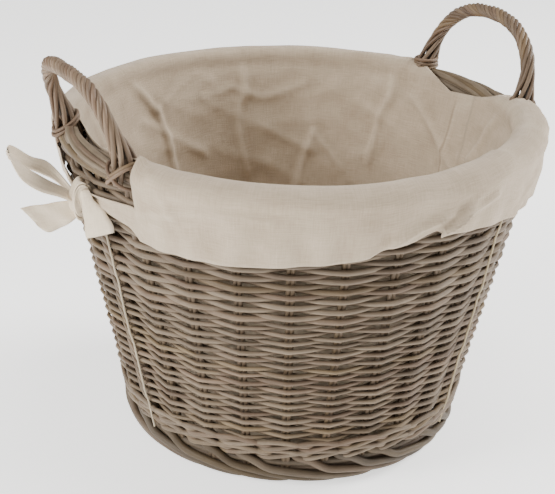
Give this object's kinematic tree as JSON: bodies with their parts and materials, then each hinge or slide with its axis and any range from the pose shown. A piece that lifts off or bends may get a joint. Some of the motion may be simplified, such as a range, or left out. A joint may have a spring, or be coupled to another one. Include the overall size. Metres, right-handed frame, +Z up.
{
  "type": "lined log basket",
  "caption": "Round tapered willow log basket with two rope-wrapped bow handles and a fold-over cotton liner tied in bows under the handles.",
  "frame": {"origin": "on the ground at the centre of the foot", "axes": "+Z up, X through both handles (left handle at -X, right handle at +X), -Y is the front"},
  "size_m": [0.604, 0.4998, 0.4161],
  "materials": {
    "willow_weaver": "washed grey-brown willow rods, matt to satin",
    "willow_border": "washed grey-brown willow rods, thick, matt",
    "willow_handle": "washed brown willow rods, rope-laid, satin",
    "willow_stake": "washed willow stakes, matt",
    "liner_cloth": "unbleached plain-weave cotton, creased, matt"
  },
  "bodies": {
    "root": {"base_split_stick_1": "willow_stake", "base_split_stick_2": "willow_stake", "base_split_stick_3": "willow_stake", "base_through_stick_1": "willow_stake", "base_through_stick_2": "willow_stake", "base_through_stick_3": "willow_stake", "base_weave": "willow_stake", "coarse_weave": "willow_weaver", "fine_weave": "willow_weaver", "foot_border": "willow_border", "left_handle_binding_back": "willow_handle", "left_handle_binding_front": "willow_handle", "left_handle_core": "willow_handle", "left_handle_wrap": "willow_handle", "left_tie_knot": "liner_cloth", "left_tie_long_tail": "liner_cloth", "left_tie_loop": "liner_cloth", "left_tie_short_tail": "liner_cloth", "liner_base": "liner_cloth", "liner_cuff_back": "liner_cloth", "liner_cuff_front": "liner_cloth", "liner_side": "liner_cloth", "right_handle_binding_back": "willow_handle", "right_handle_binding_front": "willow_handle", "right_handle_core": "willow_handle", "right_handle_wrap": "willow_handle", "right_tie_knot": "liner_cloth", "right_tie_long_tail": "liner_cloth", "right_tie_loop": "liner_cloth", "right_tie_short_tail": "liner_cloth", "rim_border": "willow_border", "stake_01": "willow_stake", "stake_02": "willow_stake", "stake_03": "willow_stake", "stake_04": "willow_stake", "stake_05": "willow_stake", "stake_06": "willow_stake", "stake_07": "willow_stake", "stake_08": "willow_stake", "stake_09": "willow_stake", "stake_10": "willow_stake", "stake_11": "willow_stake", "stake_12": "willow_stake", "stake_13": "willow_stake", "stake_14": "willow_stake", "stake_15": "willow_stake", "stake_16": "willow_stake", "stake_17": "willow_stake", "stake_18": "willow_stake", "stake_19": "willow_stake", "stake_20": "willow_stake", "stake_21": "willow_stake", "stake_22": "willow_stake", "stake_23": "willow_stake", "stake_24": "willow_stake", "stake_25": "willow_stake", "stake_26": "willow_stake", "stake_27": "willow_stake", "stake_28": "willow_stake", "upsett_wale": "willow_weaver"}
  },
  "joints": []
}
